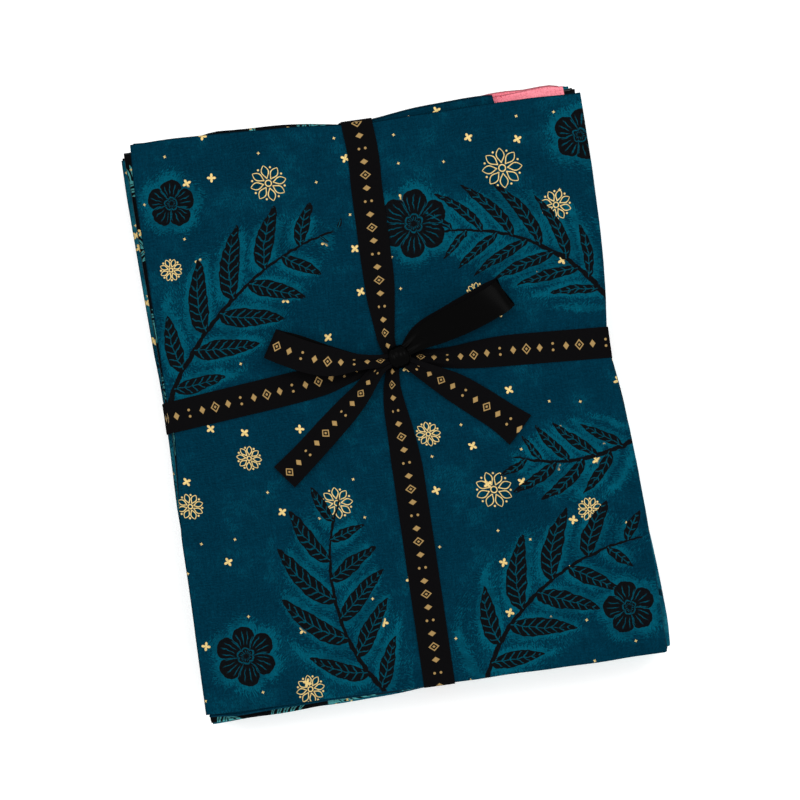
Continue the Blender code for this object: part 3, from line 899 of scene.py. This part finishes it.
# how the long turn passes over the cross turn on top of the pile and under it below
CROSSING_REACH = 13.0 * MM
RISE_ON_TOP = 1.3 * MM
DROP_BELOW = 0.5 * MM

LONG_TURN = (
    # y, x, width
    (-145, 1.5, 15.5), (-50, 0.9, 15.4), (-30, 0.5, 14.9), (-15, -0.3, 13), (-5, -1.2, 11.3),
    (5, -1.4, 8.9), (12, -0.4, 7), (20, 0.8, 6.2), (30, -0.9, 8.6), (37, -0.9, 10.2),
    (50, -0.7, 13.6), (60, -0.3, 15), (74, -0.2, 15.5), (106, 0, 15.5), (118, 0.5, 15.5),
    (128, 0.4, 15.5), (136, -0.3, 15.5), (142, -0.9, 15.5), (160, -5, 15.5),
)
CROSS_TURN = (
    # x, y, width
    (-121, 6.1, 15.5), (-45, 13.6, 15.5), (-24, 16.6, 11.6), (-8, 19.6, 7.2), (3, 20.8, 6.2),
    (12, 20.2, 6.8), (18, 19, 7.8), (25, 17.8, 9.4), (34, 17, 11.8), (44, 16.9, 13.9),
    (54, 16.8, 15.1), (66, 16.3, 15.5), (121, 13.1, 15.5),
)
# the bow's rows: x, y, height, width, and the across direction's turn and roll in degrees
LEFT_LOOP = (
    (3, 19.8, 3, 5.4, 78, 0), (-12, 20.4, 2.6, 7, 76, 0), (-30.4, 24.9, 2.2, 13, 70, 0),
    (-46, 31.4, 2.2, 15.5, 63, 0), (-54, 34.6, 2.5, 15.5, 60, 0), (-57.4, 36.2, 3.9, 15.5, 59, 0),
    (-58.1, 36.4, 6, 15.5, 59, 0), (-56.2, 35.2, 7.8, 15.5, 59, 0),
    (-49.6, 31.5, 8.9, 15.5, 62, -3), (-39, 26.3, 9, 15.5, 66, -6), (-28.6, 23, 8.5, 14.2, 71, -8),
    (-17, 21.3, 7.4, 8.6, 75, -6), (-6, 20.4, 6.2, 6.2, 78, 0), (3, 20.6, 5.4, 5.4, 80, 0),
)
RIGHT_LOOP = (
    (6, 22, 3.2, 5.4, 110, 0), (17, 30.2, 2.8, 12.2, 114, 0), (32, 35.6, 2.4, 15, 116, 0),
    (49, 42.3, 2.5, 15.5, 117, 0), (55.6, 44.6, 3, 15.5, 117, 0), (59.8, 45.7, 4.6, 15.5, 117, 0),
    (60.6, 45.4, 6.8, 15.5, 117, 0), (58.4, 43.4, 8.6, 15.5, 117, 0), (51, 40, 9.8, 15.5, 116, 4),
    (40, 36, 10, 15.5, 114, 8), (28, 32.4, 9.2, 14.8, 112, 11), (17.4, 29, 7.8, 11.8, 110, 12),
    (10, 25, 6.4, 7.2, 107, 8), (5, 22.4, 5.6, 5.4, 104, 0),
)
LEFT_TAIL = (
    (4, 20.6, 5.6, 5.4, 130, 0), (-4, 18, 5.3, 6, 124, -10), (-10.5, 12.6, 4.4, 8.2, 128, -14),
    (-16.6, 6, 3.5, 10.4, 131, -12), (-25, -1.4, 2.8, 12.8, 131, -14),
    (-36, -10.6, 2.4, 13.8, 129, -14), (-48, -20.6, 2.6, 13.9, 118, -10),
    (-60.5, -30.3, 3.2, 14.6, 92, -4),
)
RIGHT_TAIL = (
    (5, 20.2, 5, 5.4, 62, 0), (11.6, 15.2, 4.6, 7.4, 58, 10), (19.6, 9.4, 3.6, 10.8, 58, 12),
    (29.6, 2.2, 2.4, 14.4, 60, 5), (40, -6.2, 1.7, 15.5, 59, 0), (50, -14.8, 1.8, 15.8, 62, -2),
    (59, -23.4, 2.8, 18.2, 77, -4),
)
KNOT_MIDDLE = (4.2, 21.0, 4.3)
KNOT_RADII = (4.5, 3.2)  # half its length over the strands, and half its height
KNOT_WIDTH = (9.4, 6.4)  # on top and underneath
KNOT_ACROSS_DEGREES = 12.0


def smooth_rows(rows, spacing):
    """Rows of numbers, led by x, y and z, drawn out into a smooth run of even steps."""
    rows = np.asarray(rows, dtype=float)
    ends = np.vstack([2 * rows[0] - rows[1], rows, 2 * rows[-1] - rows[-2]])
    steps = 24
    drawn = []
    for first in range(len(rows) - 1):
        before, start, end, after = ends[first:first + 4]
        for share in np.arange(steps) / steps:
            drawn.append(0.5 * (
                2 * start + (end - before) * share
                + (2 * before - 5 * start + 4 * end - after) * share ** 2
                + (3 * start - before - 3 * end + after) * share ** 3
            ))
    drawn.append(rows[-1])
    drawn = np.array(drawn)
    lengths = np.linalg.norm(np.diff(drawn[:, :3], axis=0), axis=1)
    run = np.concatenate([[0.0], np.cumsum(lengths)])
    count = max(2, round(run[-1] / spacing))
    even = np.linspace(0.0, run[-1], count + 1)
    return np.column_stack([np.interp(even, run, column) for column in drawn.T])


def pleated(share, width):
    """Sideways place and lift across a ribbon that is gathered to a width."""
    gather = np.clip(1.0 - width / RIBBON_WIDTH, 0.0, 0.65) / 0.65
    lean = 0.14 * gather * np.sin(2.0 * math.pi * share + 0.8)
    sideways = (share + lean * (1.0 - share ** 2)) * width / 2
    pleat = 0.5 - 0.5 * np.cos(2.0 * math.pi * (share + 1.0) + 0.5)
    crown = 1.0 - 0.45 * share ** 2
    lift = PLEAT_HEIGHT * gather ** 0.8 * pleat * crown
    return sideways, lift


def wrapped(share, width):
    """Sideways place and lift across the turn round the knot: full, with one soft crease."""
    crease = 0.45 * np.exp(-((share - 0.34) / 0.16) ** 2)
    crease = crease + 0.2 * np.exp(-((share + 0.4) / 0.14) ** 2)
    lift = (1.1 * (1.0 - share ** 4) - crease) * MM * np.ones_like(width)
    return share * width / 2, lift


def lay_ribbon(name, middles, across, widths, side, printed_out=True, closed=False,
               section=pleated):
    """A flat strip of ribbon laid along its stations, with its own length and width as UV.

    side is 1 where the strip's outer side is the one that its across and ahead turn up, or -1.
    """
    rows = len(middles)
    ahead = np.gradient(middles, axis=0)
    if closed:
        ahead[0] = ahead[-1] = middles[1] - middles[-2]
    ahead /= np.linalg.norm(ahead, axis=1)[:, None]
    across = across - ahead * np.sum(across * ahead, axis=1)[:, None]
    across /= np.linalg.norm(across, axis=1)[:, None]
    up = side * np.cross(across, ahead)
    share = np.linspace(-1.0, 1.0, RIBBON_CELLS + 1)[None, :]
    sideways, lift = section(share, widths[:, None])
    places = (middles[:, None, :] + across[:, None, :] * sideways[:, :, None]
              + up[:, None, :] * lift[:, :, None])
    lengths = np.linalg.norm(np.diff(middles, axis=0), axis=1)
    run = ribbon_run[0] + np.concatenate([[0.0], np.cumsum(lengths)])
    flat = np.stack(np.broadcast_arrays(run[:, None], share * RIBBON_WIDTH / 2), axis=-1)

    bpy.ops.mesh.primitive_grid_add(x_subdivisions=RIBBON_CELLS, y_subdivisions=rows - 1, size=1.0)
    strip = bpy.context.object
    strip.name = name
    strip.data.vertices.foreach_set("co", places.reshape(-1, 3).astype(np.float32).ravel())
    set_flat_coordinates(strip.data, flat.reshape(-1, 2))
    strip.data.update()
    if closed:
        bpy.ops.object.mode_set(mode="EDIT")
        bpy.ops.mesh.select_all(action="SELECT")
        bpy.ops.mesh.remove_doubles(threshold=0.00001)
        bpy.ops.object.mode_set(mode="OBJECT")
    count = len(strip.data.vertices)
    add_thickness(strip, RIBBON)
    mark_wrong_side(strip, count, printed_first=(printed_out == (side > 0)))
    strip.select_set(False)
    ribbon_run[0] = run[-1]
    return strip


ribbon_run = [0.0]


def outline_points(places, heights, stand_off):
    """The outer outline of the pile's section, a little way off, inside on its left."""

    def turn(first, second, third):
        return ((second[0] - first[0]) * (third[1] - second[1])
                - (second[1] - first[1]) * (third[0] - second[0]))

    def outline(points):
        chains = []
        for ordered in (sorted(points), sorted(points, reverse=True)):
            chain = []
            for place in ordered:
                while len(chain) > 1 and turn(chain[-2], chain[-1], place) <= 1e-13:
                    chain.pop()
                chain.append(place)
            chains += chain[:-1]
        return chains

    corners = outline(set(zip(np.round(places, 6), np.round(heights, 6))))
    angles = np.radians(np.arange(0, 360, 15))
    stood_off = {
        (place + stand_off * math.cos(angle), height + stand_off * math.sin(angle))
        for place, height in corners for angle in angles
    }
    corners = outline(stood_off)
    points = []
    for here, ahead in zip(corners, corners[1:] + corners[:1]):
        steps = max(1, math.ceil(math.dist(here, ahead) / RIBBON_STEP))
        for step in range(steps):
            share = step / steps
            place = (between(share, 0, here[0], 1, ahead[0]),
                     between(share, 0, here[1], 1, ahead[1]))
            if not points or math.dist(points[-1], place) > 0.2 * MM:
                points.append(place)
    # the outline starts and ends at the lowest place near the middle
    first = min(range(len(points)),
                key=lambda index: points[index][1] + abs(points[index][0]) * 0.01)
    points = points[first:] + points[:first + 1]
    return np.array(points)


cloth_points = np.concatenate([
    np.array([corner.co for corner in cloth.data.vertices]) for cloth in cloths.values()
])
KNOT_PLACE = (0.0052, 0.0222)
top_layer = PILE_FLOOR + len(cloths) * PIECE_PITCH - 0.5 * LAYER_PITCH
cloth_top = float(pile_height(*KNOT_PLACE, top_layer))


def turn_table(rows, along_middle, across_middle):
    """A turn's middle line and width as places to read between, in the pile's own frame."""
    drawn = smooth_rows([(row[0], row[1], 0.0, row[2]) for row in rows], 2.0) * MM
    return drawn[:, 0] - along_middle, drawn[:, 1] - across_middle, drawn[:, 3]


def lay_turn(name, rows, long):
    """One turn of the ribbon round the whole pile."""
    middles = (MIDDLE_Y, MIDDLE_X) if long else (MIDDLE_X, MIDDLE_Y)
    at, line, widths = turn_table(rows, *middles)
    place = cloth_points[:, 1] if long else cloth_points[:, 0]
    beside = cloth_points[:, 0] if long else cloth_points[:, 1]
    high = cloth_points[:, 2] > cloth_top / 2
    ends = np.interp(place, [at[0], at[-1]], [line[0], line[-1]])
    middle = np.where(high, np.interp(place, at, line), ends)
    under = np.abs(beside - middle) < RIBBON_WIDTH / 2 + 1.0 * MM
    path = outline_points(place[under], cloth_points[under, 2], RIBBON_GAP + RIBBON / 2)

    on_top = np.clip(path[:, 1] / cloth_top * 2.0 - 0.5, 0.0, 1.0)
    ends = np.interp(path[:, 0], [at[0], at[-1]], [line[0], line[-1]])
    middle = ends + on_top * (np.interp(path[:, 0], at, line) - ends)
    width = RIBBON_WIDTH + on_top * (np.interp(path[:, 0], at, widths) - RIBBON_WIDTH)
    heights = path[:, 1].copy()
    if long:
        crossing = np.interp(0.0, *turn_table(CROSS_TURN, MIDDLE_X, MIDDLE_Y)[:2])
        near = np.exp(-((path[:, 0] - crossing) / CROSSING_REACH) ** 2)
        heights += np.where(on_top > 0.5, RISE_ON_TOP, -DROP_BELOW) * near
    columns = (middle, path[:, 0], heights) if long else (path[:, 0], middle, heights)
    across = np.tile((-1.0, 0.0, 0.0) if long else (0.0, 1.0, 0.0), (len(path), 1))
    return lay_ribbon(name, np.stack(columns, axis=-1), across, width, 1.0, closed=True)


def lay_bow_part(name, rows, side, printed_out=True):
    """A loop or a loose end of the bow, from its table."""
    drawn = smooth_rows(rows, 2.0)
    places = drawn[:, :3] * MM
    places += np.array((-MIDDLE_X, -MIDDLE_Y, cloth_top))
    angles = np.radians(drawn[:, 4])
    across = np.stack([np.cos(angles), np.sin(angles), np.zeros(len(angles))], axis=-1)
    rolls = np.radians(drawn[:, 5])
    across = across * np.cos(rolls)[:, None] + np.array((0.0, 0.0, 1.0)) * np.sin(rolls)[:, None]
    return lay_ribbon(name, places, across, drawn[:, 3] * MM, side, printed_out)


def lay_knot():
    """The turn of ribbon that is pulled tight round the strands in the knot."""
    steps = 40
    angles = np.linspace(0.0, 2.0 * math.pi, steps + 1) - math.pi / 2
    turned = math.radians(KNOT_ACROSS_DEGREES)
    across = np.array((math.cos(turned), math.sin(turned), 0.0))
    over = np.array((-math.sin(turned), math.cos(turned), 0.0))
    middles = np.array(KNOT_MIDDLE) * MM + np.array((-MIDDLE_X, -MIDDLE_Y, cloth_top))
    middles = middles + over * np.cos(angles)[:, None] * KNOT_RADII[0] * MM
    middles = middles + np.array((0.0, 0.0, 1.0)) * np.sin(angles)[:, None] * KNOT_RADII[1] * MM
    top = 0.5 + 0.5 * np.sin(angles)
    widths = (KNOT_WIDTH[1] + (KNOT_WIDTH[0] - KNOT_WIDTH[1]) * top) * MM
    return lay_ribbon("knot", middles, np.tile(-across, (steps + 1, 1)), widths, 1.0, False,
                      closed=True, section=wrapped)


strips = [
    lay_turn("cross_turn", CROSS_TURN, long=False),
    lay_turn("long_turn", LONG_TURN, long=True),
    lay_bow_part("left_loop", LEFT_LOOP, -1.0),
    lay_bow_part("right_loop", RIGHT_LOOP, 1.0, printed_out=False),
    lay_bow_part("left_tail", LEFT_TAIL, 1.0),
    lay_bow_part("right_tail", RIGHT_TAIL, -1.0),
    lay_knot(),
]
for strip in strips:
    strip.select_set(True)
bpy.context.view_layer.objects.active = strips[0]
bpy.ops.object.join()
ribbon = strips[0]
ribbon.name = "bundle_ribbon"
bpy.ops.object.shade_smooth_by_angle(angle=math.radians(50.0))
ribbon.select_set(False)

# its finish: black, with fine ribs across it, a firm edge and a row of small gold marks, which
# are a large lozenge, a small one and a pair of dots in turn

MARK_STEP = 6.6
RIB_PITCH = 0.55


def make_ribbon_black():
    material, shader, flat = start_material("ribbon_black", 0.0)
    shader["Coat Roughness"].default_value = 0.26
    run, beside = parts(flat)
    turns = run / MARK_STEP
    local = (turns - calc("ROUND", turns)) * MARK_STEP
    number = calc("PINGPONG", calc("ROUND", turns), 2.0)
    away = abs(local)
    high = abs(beside)
    lozenge = away / 2.3 + high / 2.8
    line = abs(lozenge - 0.84)
    large = calc("MAXIMUM", fade(line, 0.20, 0.10), fade(lozenge, 0.34, 0.24))
    small = fade(away / 1.45 + high / 2.0, 1.1, 0.9)
    off = high - 1.6
    pair = fade(distance(away, off), 0.74, 0.54)
    is_large = calc("LESS_THAN", number, 0.5)
    is_pair = calc("GREATER_THAN", number, 1.5)
    is_small = 1.0 - is_large - is_pair
    gold = largest(large * is_large, small * is_small, pair * is_pair)
    side = marked(flat.tree, "wrong_side")
    gold = gold * calc("LESS_THAN", side, 0.5)
    # the printed side is matt and the other side has a satin shine
    join(fade(side, 0.4, 0.6, 0.0, 0.05), shader["Coat Weight"])
    uneven, _ = cloudy(stretch(flat, 0.5, 3.0), 1.0, 2.0, 0.5, 6.0)
    gold = gold * fade(uneven, 0.25, 0.45, 0.75, 1.0)
    cloth = blend(uneven, shade(7, 7, 8), shade(14, 13, 14))
    cloth = blend(side, cloth, shade(2, 2, 2))
    join(blend(gold, cloth, shade(150, 123, 78)), shader["Base Color"])
    join(gold * 0.35, shader["Metallic"])
    join(fade(gold, 0.0, 1.0, 0.50, 0.45), shader["Roughness"])
    rib = calc("SINE", run * (2.0 * math.pi / RIB_PITCH))
    edge = fade(high, 7.0, 7.4)
    add_bump(shader, rib * 0.3 + edge * 1.2, 0.06 * MM)
    return material


ribbon.data.materials.clear()
ribbon.data.materials.append(make_ribbon_black())
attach(ribbon, "root")
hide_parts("ribbon")

# ---------------------------------------------------------------------------------------------
# The floor: a plain white table top, wide enough to fill the view.

bpy.ops.mesh.primitive_plane_add(size=6.0, location=(0.0, 0.0, 0.0))
floor = bpy.context.object
floor.name = "white_floor"
floor.select_set(False)
floor_white = bpy.data.materials.new("floor_white")
floor_white.use_nodes = True
floor_shader = floor_white.node_tree.nodes["Principled BSDF"]
for label, value in {
    "Base Color": (0.92, 0.92, 0.92, 1.0), "Roughness": 0.9, "Specular IOR Level": 0.0,
    "Emission Color": (1.0, 1.0, 1.0, 1.0), "Emission Strength": 0.28,
}.items():
    floor_shader.inputs[label].default_value = value
floor.data.materials.append(floor_white)

# ---------------------------------------------------------------------------------------------
# The light: one large soft lamp high over the bundle, a second lower one, and an even sky.


def add_lamp(name, place, size, power):
    """A square lamp that faces the middle of the bundle's underside."""
    lamp = bpy.data.lights.new(name, "AREA")
    lamp.shape = "SQUARE"
    lamp.size = size
    lamp.energy = power
    thing = bpy.data.objects.new(name, lamp)
    bpy.context.collection.objects.link(thing)
    thing.location = place
    thing.rotation_euler = (-Vector(place)).to_track_quat("-Z", "Y").to_euler()


add_lamp("soft_light_left", (-1.2, 0.8, 1.9), 1.2, 9.0)
add_lamp("soft_light_right", (0.75, 0.75, 2.0), 0.8, 10.0)
sky = bpy.data.worlds.new("even_sky")
sky.use_nodes = True
sky.node_tree.nodes["Background"].inputs["Color"].default_value = (1.0, 1.0, 1.0, 1.0)
sky.node_tree.nodes["Background"].inputs["Strength"].default_value = 1.10
bpy.context.scene.world = sky
bpy.context.scene.view_settings.view_transform = "Standard"

# ---------------------------------------------------------------------------------------------
# The camera: straight above the bundle, turned so that the bundle lies eight degrees askew.

VIEW_MIDDLE = (2.88 * MM, 0.86 * MM)
VIEW_HEIGHT = 3.0
VIEW_WIDTH = 398.0 * MM
SENSOR = 36.0

lens = bpy.data.cameras.new("camera")
lens.sensor_width = SENSOR
lens.lens = SENSOR * VIEW_HEIGHT / VIEW_WIDTH
lens.clip_start = 0.01
lens.clip_end = 50.0
camera = bpy.data.objects.new("camera", lens)
bpy.context.collection.objects.link(camera)
camera.location = (*VIEW_MIDDLE, cloth_top + VIEW_HEIGHT)
camera.rotation_euler = (0.0, 0.0, math.radians(-8.0))
bpy.context.scene.camera = camera
